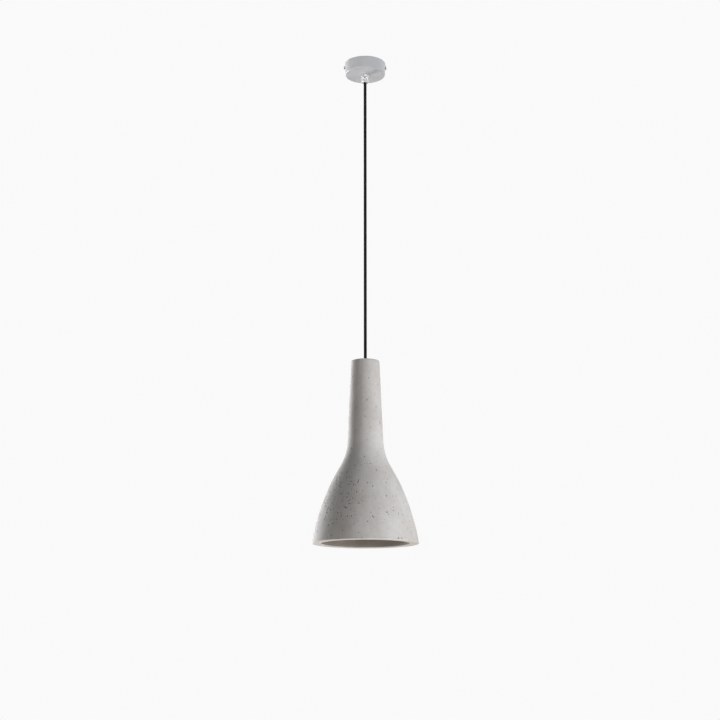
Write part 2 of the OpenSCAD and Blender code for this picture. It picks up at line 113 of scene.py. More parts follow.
def tidyMesh(mesh, sharpAngle=38):
    # poles and seams are merged, faces are turned outwards, and edges above the angle stay sharp
    work = bmesh.new()
    work.from_mesh(mesh)
    bmesh.ops.remove_doubles(work, verts=work.verts, dist=1e-7)
    bmesh.ops.dissolve_degenerate(work, edges=work.edges, dist=1e-7)
    if work.calc_volume(signed=True) < 0:
        bmesh.ops.reverse_faces(work, faces=work.faces)
    work.to_mesh(mesh)
    work.free()
    mesh.polygons.foreach_set("use_smooth", np.ones(len(mesh.polygons), bool))
    mesh.set_sharp_from_angle(angle=math.radians(sharpAngle))


def addPiece(name, mesh, material):
    piece = bpy.data.objects.new(name, mesh)
    bpy.context.scene.collection.objects.link(piece)
    mesh.materials.append(material)
    return piece


def surface(name, points, material, loopAlong=False, loopAround=True, sharpAngle=38):
    # a piece from a grid of points in metres: rows x columns x 3
    rows, columns = points.shape[:2]
    mesh = bpy.data.meshes.new(name)
    setMesh(mesh, points.reshape(-1, 3), gridFaces(rows, columns, loopAlong, loopAround))
    tidyMesh(mesh, sharpAngle)
    return addPiece(name, mesh, material)


def lathe(name, outline, material, columns=128, loopAlong=True, ripple=None, sharpAngle=38):
    # each outline point (radius, height above the rim) in mm is carried round the axis;
    # ripple gives what is added to the radius, from the grid of angles, radii and heights
    turn = np.linspace(0, 2 * np.pi, columns, endpoint=False)
    radius, height = (np.repeat(outline[:, k:k + 1], columns, 1) for k in (0, 1))
    angle = np.repeat(turn[None], len(outline), 0)
    if ripple:
        radius = radius + ripple(angle, radius, height)
    points = np.stack([radius * np.cos(angle) * mm, radius * np.sin(angle) * mm, rimZ + height * mm], -1)
    return surface(name, points, material, loopAlong, sharpAngle=sharpAngle)


def stack(*parts):
    return np.vstack([np.atleast_2d(np.array(part, float)) for part in parts if len(part)])


def smoothRoute(route, steps):
    # a curve through all the points of a route, with the tangents of their neighbours
    route = np.array(route, float)
    ends = np.vstack([route[:1], route, route[-1:]])
    a, b, c, d = (ends[k:len(ends) - 3 + k, None] for k in range(4))
    t = np.linspace(0, 1, steps, endpoint=False)[:, None]
    curve = 0.5 * (2 * b + (c - a) * t + (2 * a - 5 * b + 4 * c - d) * t ** 2 + (3 * b - a - 3 * c + d) * t ** 3)
    return np.vstack([curve.reshape(-1, 3), route[-1:]])


# Materials.


def hexColour(text):
    # an sRGB hex value as a linear colour
    shares = [int(text[k:k + 2], 16) / 255 for k in (1, 3, 5)]
    return (*[s / 12.92 if s <= 0.04045 else ((s + 0.055) / 1.055) ** 2.4 for s in shares], 1)


def perMetre(size):
    # the scale of a pattern that repeats each size in mm
    return 1000 / size


def newMaterial(name):
    material = bpy.data.materials.new(name)
    material.use_nodes = True
    material.node_tree.nodes.clear()
    return material


def node(material, kind, inputs, **settings):
    # one node, with its settings and its inputs: an input is a value or another node's output
    made = material.node_tree.nodes.new("ShaderNode" + kind)
    for key, value in settings.items():
        setattr(made, key, value)
    for key, value in inputs.items():
        if isinstance(value, bpy.types.NodeSocket):
            material.node_tree.links.new(value, made.inputs[key])
        else:
            made.inputs[key].default_value = value
    return made


def ramp(material, value, stops):
    # a value turned to a colour by stops of (place, hex colour)
    made = node(material, "ValToRGB", {"Fac": value})
    elements = made.color_ramp.elements
    for k, (place, colour) in enumerate(stops):
        stop = elements[k] if k < 2 else elements.new(place)
        stop.position = place
        stop.color = hexColour(colour)
    return made.outputs["Color"]


def finishMaterial(material, shaderInputs):
    shader = node(material, "BsdfPrincipled", shaderInputs)
    node(material, "OutputMaterial", {"Surface": shader.outputs["BSDF"]})
    return material


def castConcrete():
    # cement paste cast in a mould: cloudy grey, dull, with a fine sandy grain and open air pores; the pores and the
    # bell's inside are darkened by painted shade
    made = newMaterial("castConcrete")
    place = node(made, "TexCoord", {}).outputs["Object"]
    stretched = node(made, "Mapping", {"Vector": place, "Scale": (1, 1, 0.3)}).outputs["Vector"]
    clouds = node(made, "TexNoise", {"Vector": place, "Scale": perMetre(55), "Detail": 4, "Roughness": 0.55})
    streaks = node(made, "TexNoise", {"Vector": stretched, "Scale": perMetre(16), "Detail": 3})
    blotches = node(made, "TexNoise", {"Vector": place, "Scale": perMetre(7), "Detail": 5, "Roughness": 0.6})
    grain = node(made, "TexNoise", {"Vector": place, "Scale": perMetre(0.9), "Detail": 3, "Roughness": 0.7})
    mixed = node(made, "Math", {0: clouds.outputs["Fac"], 1: 0.5}, operation="MULTIPLY")
    mixed = node(made, "Math", {0: streaks.outputs["Fac"], 1: 0.25, 2: mixed.outputs[0]}, operation="MULTIPLY_ADD")
    mixed = node(made, "Math", {0: blotches.outputs["Fac"], 1: 0.25, 2: mixed.outputs[0]}, operation="MULTIPLY_ADD")
    paste = ramp(made, mixed.outputs[0], [(0.36, "#B7B3AF"), (0.5, "#C3C0BD"), (0.64, "#CBC9C8")])
    sandy = ramp(made, grain.outputs["Fac"], [(0.3, "#E2E2E2"), (0.5, "#F6F6F6"), (0.72, "#FFFFFF")])
    colour = node(made, "Mix", {"Factor": 1.0, 6: paste, 7: sandy}, data_type="RGBA", blend_type="MULTIPLY")
    pores = node(made, "TexVoronoi", {"Vector": place, "Scale": perMetre(5.5), "Randomness": 1.0})
    crowd = node(made, "TexNoise", {"Vector": place, "Scale": perMetre(38), "Detail": 2})
    edge = node(made, "MapRange", {"Value": crowd.outputs["Fac"], "From Min": 0.4, "From Max": 0.75, "To Min": 0.0, "To Max": 0.12})
    near = node(made, "Math", {0: edge.outputs[0], 1: pores.outputs["Distance"]}, operation="SUBTRACT")
    pinhole = node(made, "MapRange", {"Value": near.outputs[0], "From Min": 0.0, "From Max": 0.03})
    # painted shade in the pores: pinholes and the sunk pits are darkened towards grey brown
    pit = node(made, "Attribute", {}, attribute_name="pit").outputs["Fac"]
    dark = node(made, "Math", {0: pinhole.outputs[0], 1: pit}, operation="MAXIMUM")
    colour = node(made, "Mix", {"Factor": dark.outputs[0], 6: colour.outputs[2], 7: hexColour("#6E6862")}, data_type="RGBA")
    # painted shade: the bell's inside is multiplied darker, as if little light reaches into it
    paintedInsideShade = node(made, "Attribute", {}, attribute_name="inside").outputs["Fac"]
    colour = node(made, "Mix", {"Factor": paintedInsideShade, 6: colour.outputs[2], 7: hexColour("#AEA69C")}, data_type="RGBA", blend_type="MULTIPLY")
    dull = node(made, "MapRange", {"Value": blotches.outputs["Fac"], "To Min": 0.72, "To Max": 0.92})
    height = node(made, "Math", {0: grain.outputs["Fac"], 1: 0.35, 2: blotches.outputs["Fac"]}, operation="MULTIPLY_ADD")
    height = node(made, "Math", {0: pinhole.outputs[0], 1: -0.9, 2: height.outputs[0]}, operation="MULTIPLY_ADD")
    bump = node(made, "Bump", {"Height": height.outputs[0], "Strength": 0.3, "Distance": 0.35 * mm})
    return finishMaterial(made, {"Base Color": colour.outputs[2], "Roughness": dull.outputs[0], "Normal": bump.outputs["Normal"]})


def powderCoat():
    # light grey powder coat baked on steel: satin, with a faint orange-peel surface
    made = newMaterial("powderCoat")
    place = node(made, "TexCoord", {}).outputs["Object"]
    peel = node(made, "TexNoise", {"Vector": place, "Scale": perMetre(1.6), "Detail": 2})
    tone = node(made, "TexNoise", {"Vector": place, "Scale": perMetre(30), "Detail": 2})
    colour = ramp(made, tone.outputs["Fac"], [(0.3, "#B9BABD"), (0.7, "#BFC0C3")])
    bump = node(made, "Bump", {"Height": peel.outputs["Fac"], "Strength": 0.12, "Distance": 0.1 * mm})
    return finishMaterial(made, {"Base Color": colour, "Roughness": 0.42, "Normal": bump.outputs["Normal"]})


def metalFinish(name, light, dark, roughness, spot, polish=0.06):
    # a metal whose tone and gloss drift over spots of the given size in mm
    made = newMaterial(name)
    place = node(made, "TexCoord", {}).outputs["Object"]
    drift = node(made, "TexNoise", {"Vector": place, "Scale": perMetre(spot), "Detail": 4, "Roughness": 0.6})
    colour = ramp(made, drift.outputs["Fac"], [(0.3, dark), (0.7, light)])
    gloss = node(made, "MapRange", {"Value": drift.outputs["Fac"], "To Min": roughness - polish, "To Max": roughness + polish})
    bump = node(made, "Bump", {"Height": drift.outputs["Fac"], "Strength": 0.08, "Distance": 0.05 * mm})
    return finishMaterial(made, {"Base Color": colour, "Metallic": 1.0, "Roughness": gloss.outputs[0], "Normal": bump.outputs["Normal"]})


def galvanisedSheet():
    # hot-dip galvanised sheet: a spangle of dull zinc crystals about 5 mm across
    made = newMaterial("galvanisedSheet")
    place = node(made, "TexCoord", {}).outputs["Object"]
    spangle = node(made, "TexVoronoi", {"Vector": place, "Scale": perMetre(5)})
    cloud = node(made, "TexNoise", {"Vector": place, "Scale": perMetre(2), "Detail": 3})
    crystal = node(made, "SeparateColor", {"Color": spangle.outputs["Color"]}).outputs["Red"]
    tone = node(made, "Math", {0: cloud.outputs["Fac"], 1: 0.4, 2: crystal}, operation="MULTIPLY_ADD")
    colour = ramp(made, tone.outputs[0], [(0.1, "#9A9D9F"), (0.6, "#B4B7B9"), (1.0, "#C6C9CB")])
    gloss = node(made, "MapRange", {"Value": crystal, "To Min": 0.34, "To Max": 0.52})
    return finishMaterial(made, {"Base Color": colour, "Metallic": 1.0, "Roughness": gloss.outputs[0]})


def clearPlastic():
    # injection-moulded clear nylon: slightly milky, glossy outside
    made = newMaterial("clearPlastic")
    place = node(made, "TexCoord", {}).outputs["Object"]
    flow = node(made, "TexNoise", {"Vector": place, "Scale": perMetre(5), "Detail": 2})
    bump = node(made, "Bump", {"Height": flow.outputs["Fac"], "Strength": 0.1, "Distance": 0.2 * mm})
    return finishMaterial(made, {
        "Base Color": hexColour("#FAFBFC"), "Roughness": 0.22, "IOR": 1.53, "Transmission Weight": 0.4,
        "Normal": bump.outputs["Normal"]})


def mouldedPlastic(name, colour, roughness, speck):
    # an opaque moulding: even colour, a fine spark-eroded texture from its tool
    made = newMaterial(name)
    place = node(made, "TexCoord", {}).outputs["Object"]
    texture = node(made, "TexNoise", {"Vector": place, "Scale": perMetre(speck), "Detail": 3})
    gloss = node(made, "MapRange", {"Value": texture.outputs["Fac"], "To Min": roughness - 0.06, "To Max": roughness + 0.08})
    bump = node(made, "Bump", {"Height": texture.outputs["Fac"], "Strength": 0.15, "Distance": 0.05 * mm})
    return finishMaterial(made, {
        "Base Color": hexColour(colour), "Roughness": gloss.outputs[0], "IOR": 1.5, "Normal": bump.outputs["Normal"]})


def stripedInsulation():
    # earth wire insulation: green with a yellow stripe along it, both extruded together
    made = newMaterial("stripedInsulation")
    around = node(made, "SeparateXYZ", {"Vector": node(made, "UVMap", {}).outputs["UV"]}).outputs["X"]
    colour = ramp(made, around, [(0.0, "#3F8A2E"), (0.49, "#3F8A2E"), (0.5, "#E3C526"), (1.0, "#E3C526")])
    return finishMaterial(made, {"Base Color": colour, "Roughness": 0.38, "IOR": 1.53})


def braidedYarn():
    # black rayon yarn braided over the cable: dull, with a soft bloom where fibres catch the light
    made = newMaterial("braidedYarn")
    place = node(made, "TexCoord", {}).outputs["Object"]
    fibre = node(made, "TexNoise", {"Vector": place, "Scale": perMetre(0.35), "Detail": 3, "Roughness": 0.7})
    worn = node(made, "TexNoise", {"Vector": place, "Scale": perMetre(12), "Detail": 2})
    tone = node(made, "Math", {0: fibre.outputs["Fac"], 1: 0.6, 2: worn.outputs["Fac"]}, operation="MULTIPLY_ADD")
    colour = ramp(made, tone.outputs[0], [(0.5, "#08080A"), (1.1, "#18181A")])
    bump = node(made, "Bump", {"Height": fibre.outputs["Fac"], "Strength": 0.4, "Distance": 0.08 * mm})
    return finishMaterial(made, {
        "Base Color": colour, "Roughness": 0.88, "Specular IOR Level": 0.18, "Normal": bump.outputs["Normal"]})


def blownGlass(name, tint):
    # clear soda-lime glass: smooth, colourless
    made = newMaterial(name)
    return finishMaterial(made, {"Base Color": hexColour(tint), "Roughness": 0.0, "IOR": 1.51, "Transmission Weight": 1.0})


concrete = castConcrete()
cupPaint = powderCoat()
galvanised = galvanisedSheet()
zincPlate = metalFinish("zincPlate", "#D3D5D2", "#B9BBB6", 0.26, 2.5)
nickelPlate = metalFinish("nickelPlate", "#CFCAC0", "#B5AFA3", 0.3, 3)
turnedBrass = metalFinish("turnedBrass", "#D9B566", "#BE964A", 0.3, 2)
leadFreeSolder = metalFinish("leadFreeSolder", "#B9BABD", "#9A9B9E", 0.4, 1.5)
gripNylon = clearPlastic()
whiteNylon = mouldedPlastic("whiteNylon", "#E6E5E0", 0.42, 0.5)
blackThermoset = mouldedPlastic("blackThermoset", "#1B1B1B", 0.34, 0.4)
brownInsulation = mouldedPlastic("brownInsulation", "#5B3217", 0.36, 0.8)
blueInsulation = mouldedPlastic("blueInsulation", "#2358A6", 0.36, 0.8)
earthInsulation = stripedInsulation()
yarn = braidedYarn()
pressedSteatite = mouldedPlastic("pressedSteatite", "#E4DDCC", 0.55, 0.6)
fusedBlackGlass = mouldedPlastic("fusedBlackGlass", "#0F0F14", 0.12, 1.5)
bulbGlassFinish = blownGlass("blownBulbGlass", "#FAFCFC")
stemGlassFinish = blownGlass("drawnStemGlass", "#EEF4F4")
phosphorCoat = mouldedPlastic("phosphorSilicone", "#E2B24A", 0.45, 0.6)
print("materials made")

# Cable: one round braided cable in five pieces, split at the places where the real cable can turn.

cable = {"radius": 2.75, "strands": 16, "lay": 9.0, "braidDepth": 0.17, "columns": 64, "step": 0.36,
         "topBend": 7.0, "entryBend": 4.5}
cableRoute = {"inCanopy": (0, 0, -0.012), "belowGrip": (0, 0, -0.046), "midway": (0, 0, -0.3),
              "aboveShade": (0, 0, -0.5645), "inTube": (0, 0, -0.609), "sheathEnd": (0, 0, -0.7255)}


def braid(angle, height):
    # how far the yarn stands below the outside, from 0 to 1: two sets of strands wind both ways,
    # and each crossing shows one of them, rounded across its width and dipping at its ends
    round_ = angle / (2 * np.pi) * cable["strands"]
    along = height / cable["lay"] * cable["strands"] / 2
    first, second = round_ + along, round_ - along
    under = (np.floor(first) + np.floor(second)) % 2
    across = np.where(under == 0, first, second) % 1
    lengthways = np.where(under == 0, second, first) % 1
    rise = np.sin(np.pi * across) ** 0.5 * (0.6 + 0.4 * np.sin(np.pi * lengthways))
    return 1 - rise


def cablePiece(name, upper, lower):
    # a tube down the axis between two levels of the route, with its flat ends closed
    top, bottom = cableRoute[upper][2] / mm, cableRoute[lower][2] / mm
    heights = np.linspace(top, bottom, int((top - bottom) / cable["step"]) + 1)
    turn = np.linspace(0, 2 * np.pi, cable["columns"], endpoint=False)
    angle, height = np.meshgrid(turn, heights)
    radius = cable["radius"] - cable["braidDepth"] * braid(angle, height)
    radius = np.vstack([np.zeros_like(radius[:1]), radius, np.zeros_like(radius[:1])])
    height = np.vstack([height[:1], height, height[-1:]])
    angle = np.vstack([angle[:1], angle, angle[-1:]])
    points = np.stack([radius * np.cos(angle), radius * np.sin(angle), height], -1) * mm
    piece = surface(name, points, yarn, sharpAngle=75)
    return piece


cableTop = cablePiece("cableTop", "inCanopy", "belowGrip")
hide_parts("cable_in_canopy", "cable_bend")
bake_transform(cableTop)

cableUpper = cablePiece("cableUpper", "belowGrip", "midway")
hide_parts("cable_drop")
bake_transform(cableUpper)

cableLower = cablePiece("cableLower", "midway", "aboveShade")
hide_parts("cable_knuckle")
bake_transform(cableLower)

cableEntry = cablePiece("cableEntry", "aboveShade", "inTube")
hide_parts("cable_entry")
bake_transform(cableEntry)

cableTail = cablePiece("cableTail", "inTube", "sheathEnd")
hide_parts("cable_in_shade")
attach(cableTail, "shade")
print("cable made")

# Concrete shade.

shade = {"height": 325, "rimRadius": 93, "rimLean": 9, "bellArc": 386, "flareLean": 30.3, "flareArc": 99,
         "neckLean": 2.5, "wall": 16, "edge": 1.5, "pocketRadius": 22, "pocketTop": 190, "channel": 6,
         "recess": 13, "recessDepth": 7, "columns": 240, "pitCount": 1500, "wave": 0.22, "pitSide": 3.8}


def polar(centre, radius, angle):
    return np.array(centre) + radius * np.array([math.cos(math.radians(angle)), math.sin(math.radians(angle))])


def shadeOutline():
    # the cross-section as (radius, height): round rim, bell arc out, flare arc in, straight neck,
    # round top edge, recess, channel, pocket, and the bell's inside as an arc about the bell's centre
    s = shade
    bell = np.array([s["rimRadius"], 0]) - polar((0, 0), s["bellArc"], s["rimLean"])
    flareStart = polar(bell, s["bellArc"], s["flareLean"])
    flare = polar(flareStart, s["flareArc"], s["flareLean"])
    neckStart = polar(flare, -s["flareArc"], s["neckLean"])
    topRadius = neckStart[0] - (s["height"] - neckStart[1]) * math.tan(math.radians(s["neckLean"]))
    inner = s["bellArc"] - s["wall"]
    rimAngle = math.degrees(math.asin(-bell[1] / inner))
    innerRim = bell[0] + inner * math.cos(math.radians(rimAngle))
    pocketAngle = math.degrees(math.acos((s["pocketRadius"] - bell[0]) / inner))
    edge, top, floor = s["edge"], s["height"], s["height"] - s["recessDepth"]
    topEdge = arcPoints((topRadius - edge, top - edge), edge, s["neckLean"], 90, 5)
    pocketMouth = polar(bell, inner, pocketAngle)
    return stack(
        arcPoints((s["rimRadius"] - edge, edge), edge, -90, s["rimLean"], 5),
        arcPoints(bell, s["bellArc"], s["rimLean"] + 0.5, s["flareLean"], 72)[:-1],
        arcPoints(flare, s["flareArc"], 180 + s["flareLean"], 180 + s["neckLean"], 24),
        line(neckStart, topEdge[0], 62),
        topEdge, line(topEdge[-1], (s["recess"] + 0.8, top), 4),
        arcPoints((s["recess"] + 0.8, top - 0.8), 0.8, 90, 180, 3),
        line((s["recess"], top - 0.8), (s["recess"], floor), 3),
        [(s["recess"], floor)], line((s["recess"], floor), (s["channel"], floor), 3),
        [(s["channel"], floor)], line((s["channel"], floor), (s["channel"], s["pocketTop"]), 8),
        [(s["channel"], s["pocketTop"])], line((s["channel"], s["pocketTop"]), (s["pocketRadius"], s["pocketTop"]), 4),
        [(s["pocketRadius"], s["pocketTop"])], line((s["pocketRadius"], s["pocketTop"]), pocketMouth, 12),
        arcPoints(bell, inner, pocketAngle, rimAngle + 0.35, 54),
        arcPoints((innerRim + edge, edge), edge, 190, 270, 4),
        line((innerRim + edge, 0), (s["rimRadius"] - edge, 0), 7))


def castWave(angle, radius, height):
    # the mould's unevenness in mm: slow waves round and up the shade, and faint level lines above the rim
    outside = 1 / (1 + np.exp(-(radius - 24) / 1.5))
    slow = np.sin(2 * angle + height / 47) + 0.7 * np.sin(3 * angle - height / 29 + 1.3)
    quick = 0.4 * np.sin(7 * angle + height / 11 + 0.6) + 0.25 * np.sin(11 * angle - height / 7)
    lines = sum(-0.12 * np.exp(-((height - level) / 0.7) ** 2) for level in (5.5, 11.5))
    ragged = np.sin(9 * angle + 1) * np.sin(14 * angle) + 0.5 * np.sin(31 * angle + 2)
    atTop = np.exp(-((height - shade["height"]) / 2.2) ** 2) * (radius > 20)
    return outside * (shade["wave"] * 0.5 * (slow + quick) + lines) - 0.3 * atTop * (1 + ragged)


def pitPlaces(outline):
    # air pores on the outside as (x, y, z, radius, depth), in mm: more low on the left and on the neck
    outer = outline[:160]
    count = shade["pitCount"]
    row = random.integers(4, len(outer) - 6, count * 6)
    angle = random.uniform(0, 2 * np.pi, count * 6)
    radius, height = outer[row].T
    lowLeft = np.clip(np.cos(angle - shade["pitSide"]), 0, 1) ** 2 * np.clip(1 - np.abs(height - 75) / 70, 0, 1)
    keep = random.uniform(0, 1, count * 6) < (0.15 + 0.85 * lowLeft) * radius / 90
    radius, height, angle = radius[keep][:count], height[keep][:count], angle[keep][:count]
    size = 0.34 + 0.85 * random.uniform(0, 1, len(angle)) ** 3.2
    return np.stack([radius * np.cos(angle), radius * np.sin(angle), height, size, size * 1.1], 1)


def nearestPit(points, pits):
    # for each point, the nearest pore in units of that pore's radius (pores are taller than wide), and its depth
    share, depth = np.full(len(points), 9.0), np.zeros(len(points))
    for x, y, z, size, deep in pits:
        distance = np.sqrt((points[:, 0] - x) ** 2 + (points[:, 1] - y) ** 2 + ((points[:, 2] - z) / 1.5) ** 2) / size
        closer = distance < share
        share[closer], depth[closer] = distance[closer], deep
    return share, depth


def meshPoints(mesh):
    points = np.empty(len(mesh.vertices) * 3, np.float32)
    mesh.vertices.foreach_get("co", points)
    return points.reshape(-1, 3).astype(float)


def refineAt(mesh, pits, reach, cuts):
    # the faces near pores are divided, so that the pores can be real hollows
    points = (meshPoints(mesh) - (0, 0, rimZ)) / mm
    grown = pits.copy()
    grown[:, 3] = grown[:, 3] + reach
    chosen = nearestPit(points, grown)[0] < 1
    work = bmesh.new()
    work.from_mesh(mesh)
    work.verts.ensure_lookup_table()
    edges = {edge for k in np.flatnonzero(chosen) for edge in work.verts[k].link_edges}
    bmesh.ops.subdivide_edges(work, edges=list(edges), cuts=cuts, use_grid_fill=True)
    work.to_mesh(mesh)
    work.free()


def bellInside(height):
    # the radius in mm of the bell's inside face at a height, and of the channel above it
    inner = shade["bellArc"] - shade["wall"]
    bell = np.array([shade["rimRadius"], 0]) - polar((0, 0), shade["bellArc"], shade["rimLean"])
    arc = bell[0] + np.sqrt(np.clip(inner ** 2 - (height - bell[1]) ** 2, 0, None))
    return np.where(height < shade["pocketTop"] + 0.5, np.maximum(arc, shade["pocketRadius"]), shade["channel"])


def makeShade():
    outline = shadeOutline()
    piece = lathe("shadeCasting", outline, concrete, shade["columns"], ripple=castWave)
    mesh = piece.data
    pits = pitPlaces(outline)
    refineAt(mesh, pits, 1.2, 2)
    refineAt(mesh, pits, 0.35, 1)
    mesh.update()
    points = meshPoints(mesh)
    normals = np.empty(len(points) * 3, np.float32)
    mesh.vertices.foreach_get("normal", normals)
    share, depth = nearestPit((points - (0, 0, rimZ)) / mm, pits)
    share = share * (1 + 0.16 * np.sin(points[:, 2] / mm * 5.1 + points[:, 0] / mm * 3.7))
    sunk = np.sqrt(np.clip(1 - share ** 2, 0, 1)) * depth * mm
    points = points - normals.reshape(-1, 3) * sunk[:, None]
    mesh.vertices.foreach_set("co", points.astype(np.float32).ravel())
    # the pit value sets how much painted shade darkens each pore
    attribute = mesh.attributes.new("pit", "FLOAT", "POINT")
    attribute.data.foreach_set("value", np.clip((1 - share) * 1.6, 0, 0.85).astype(np.float32))
    radius = np.hypot(points[:, 0], points[:, 1]) / mm
    height = (points[:, 2] - rimZ) / mm
    bellRadius = bellInside(height)
    # the inside value marks the bell's inside face, where the concrete gets painted shade
    inside = mesh.attributes.new("inside", "FLOAT", "POINT")
    inside.data.foreach_set("value", np.clip((bellRadius + 1.5 - radius) / 1.0 * (height > 1), 0, 0.9).astype(np.float32))
    mesh.polygons.foreach_set("use_smooth", np.ones(len(mesh.polygons), bool))
    mesh.set_sharp_from_angle(angle=math.radians(45))
    mesh.update()
    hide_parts("concrete_shade")
    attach(piece, "shade")
    print("shade made:", len(mesh.vertices), "points,", len(pits), "pores")


makeShade()

# Ceiling cup and cord grip.

cup = {"topRadius": 38, "bottomRadius": 37, "height": 22, "wall": 1, "edge": 1.6, "bore": 5.25, "floor": 1.2}
grip = {"radius": 6.5, "length": 15, "stub": 8.5, "thread": 5, "bore": 3.0, "mouth": 4.3, "mouthDepth": 3,
        "edge": 1.0, "pitch": 1.0, "threadDepth": 0.55}


def hangDown(outline):
    # an outline drawn from the ceiling, moved to heights above the rim
    return outline + np.array([0, -rimZ / mm])


def makeCup():
    # a pressed steel cup: slightly tapered wall, round lower edge, flat floor with a central hole
    c = cup
    lean = math.degrees(math.atan((c["topRadius"] - c["bottomRadius"]) / c["height"]))
    corner = (c["bottomRadius"] - c["edge"], -c["height"] + c["edge"])
    floor = -c["height"] + c["floor"]
    outer = arcPoints(corner, c["edge"], -90, -lean, 10)
    inner = arcPoints(corner, c["edge"] - c["wall"], -lean, -90, 6) + np.array([0, c["floor"] - c["wall"]])
    outline = stack(
        [(c["bore"], floor), (c["bore"], -c["height"])], line((c["bore"], -c["height"]), outer[0], 14),
        outer, line(outer[-1], (c["topRadius"], 0), 10),
        [(c["topRadius"], -0.15), (c["topRadius"] - 0.15, 0), (c["topRadius"] - c["wall"] + 0.15, 0),
         (c["topRadius"] - c["wall"], -0.15)],
        line((c["topRadius"] - c["wall"], -0.15), inner[0], 10), inner, line(inner[-1], (c["bore"], floor), 12))
    piece = lathe("ceilingCup", hangDown(outline), cupPaint, 192)
    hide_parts("canopy")
    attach(piece, "ceiling_mount")


def gripThread(angle, radius, height):
    # a helical M10 thread on the stub, cut inwards from its outer radius
    below = height + rimZ / mm
    onStub = (radius > grip["thread"] - 0.3) & (radius < grip["thread"] + 0.2) & (below > -cup["height"] + 1)
    wave = 0.5 - 0.5 * np.cos(2 * np.pi * (below / grip["pitch"] - angle / (2 * np.pi)))
    return np.where(onStub, -grip["threadDepth"] * wave, 0)


def makeGrip():
    # a clear grip: threaded stub through the cup, plain round body below, flared mouth for the cable
    g = grip
    under, end = -cup["height"], -cup["height"] - g["length"]
    top = under + g["stub"]
    outline = stack(
        arcPoints((g["radius"] - g["edge"], end + g["edge"]), g["edge"], -90, 0, 8),
        line((g["radius"], end + g["edge"]), (g["radius"], under - 0.4), 12),
        [(g["radius"], under - 0.4), (g["radius"] - 0.4, under)],
        [(g["thread"], under)], line((g["thread"], under), (g["thread"], top - 0.4), 48),
        [(g["thread"], top - 0.4), (g["thread"] - 0.5, top), (g["bore"] + 0.3, top), (g["bore"], top - 0.3)],
        line((g["bore"], top - 0.3), (g["bore"], end + g["mouthDepth"]), 16),
        [(g["bore"], end + g["mouthDepth"]), (g["mouth"] - 0.2, end + 0.25), (g["mouth"] + 0.1, end)])
    piece = lathe("cordGripBody", hangDown(outline), gripNylon, 96, ripple=gripThread)
    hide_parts("cord_grip_body")
    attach(piece, "ceiling_mount")


makeCup()
makeGrip()
print("ceiling cup and grip made")

# Small hardware: the CAD solids with their edges broken, as pressed and turned parts have.


def breakEdges(source, name, material, body, width=0.15, segments=2):
    mesh = nodes[source].data.copy()
    mesh.materials.clear()
    mesh.attributes.remove(mesh.attributes["custom_normal"]) if "custom_normal" in mesh.attributes else None
    work = bmesh.new()
    work.from_mesh(mesh)
    bmesh.ops.remove_doubles(work, verts=work.verts, dist=2e-6)
    flat = math.radians(1)
    bmesh.ops.dissolve_limit(work, angle_limit=flat, verts=work.verts, edges=work.edges)
    work.to_mesh(mesh)
    work.free()
    piece = addPiece(name, mesh, material)
    bevel = piece.modifiers.new("brokenEdges", "BEVEL")
    bevel.width = width * mm
    bevel.segments = segments
    bevel.limit_method = "ANGLE"
    bevel.angle_limit = math.radians(35)
    bevel.harden_normals = False
    mesh.polygons.foreach_set("use_smooth", np.ones(len(mesh.polygons), bool))
    mesh.set_sharp_from_angle(angle=math.radians(32))
    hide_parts(source)
    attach(piece, body)
    return piece


hardware = [
    ("mounting_bracket", "bracket", galvanised, "galvanised_steel", "ceiling_mount", 0.2),
    ("canopy_side_screws", "cupScrews", zincPlate, "zinc_plated", "ceiling_mount", 0.12),
    ("cord_grip_washer", "gripWasher", zincPlate, "zinc_plated", "ceiling_mount", 0.15),
    ("cord_grip_nut", "gripNut", zincPlate, "zinc_plated", "ceiling_mount", 0.25),
    ("cord_grip_screw", "gripScrew", zincPlate, "zinc_plated", "ceiling_mount", 0.08),
    ("terminal_block", "terminalHousing", whiteNylon, "white_plastic", "ceiling_mount", 0.25),
    ("terminal_barrels", "terminalBarrels", turnedBrass, "brass", "ceiling_mount", 0.1),
    ("terminal_screws", "terminalScrews", zincPlate, "zinc_plated", "ceiling_mount", 0.08),
    ("block_fixing_screw", "housingScrew", zincPlate, "zinc_plated", "ceiling_mount", 0.08),
    ("earth_screw", "earthScrew", turnedBrass, "brass", "ceiling_mount", 0.1),
    ("earth_tag", "earthTag", zincPlate, "zinc_plated", "ceiling_mount", 0.1),
    ("threaded_tube", "lampTube", zincPlate, "zinc_plated", "shade", 0.2),
    ("tube_bush", "tubeBush", blackThermoset, "black_plastic", "shade", 0.25),
    ("top_washer", "topWasher", zincPlate, "zinc_plated", "shade", 0.2),
    ("top_nut", "topNut", zincPlate, "zinc_plated", "shade", 0.3),
    ("lower_washer", "lowerWasher", zincPlate, "zinc_plated", "shade", 0.2),
    ("lower_nut", "lowerNut", zincPlate, "zinc_plated", "shade", 0.3),
    ("cap_locking_screw", "holderLockScrew", zincPlate, "zinc_plated", "shade", 0.08),
    ("strain_relief", "strainRelief", whiteNylon, "white_plastic", "shade", 0.2),
    ("contact_insert", "contactInsert", pressedSteatite, "steatite", "shade", 0.3),
    ("centre_contact", "centreContact", turnedBrass, "brass", "shade", 0.08),
    ("side_contact", "sideContact", turnedBrass, "brass", "shade", 0.08),
    ("holder_screws", "holderScrews", zincPlate, "zinc_plated", "shade", 0.1),
    ("bulb_contact", "bulbTip", leadFreeSolder, "solder", "bulb_tip", 0.5),
]
for source, name, material, slot, body, width in hardware:
    breakEdges(source, name, material, body, width)
print("hardware made")

# Insulated wires, as round tubes along the routes in part.scad, in metres.

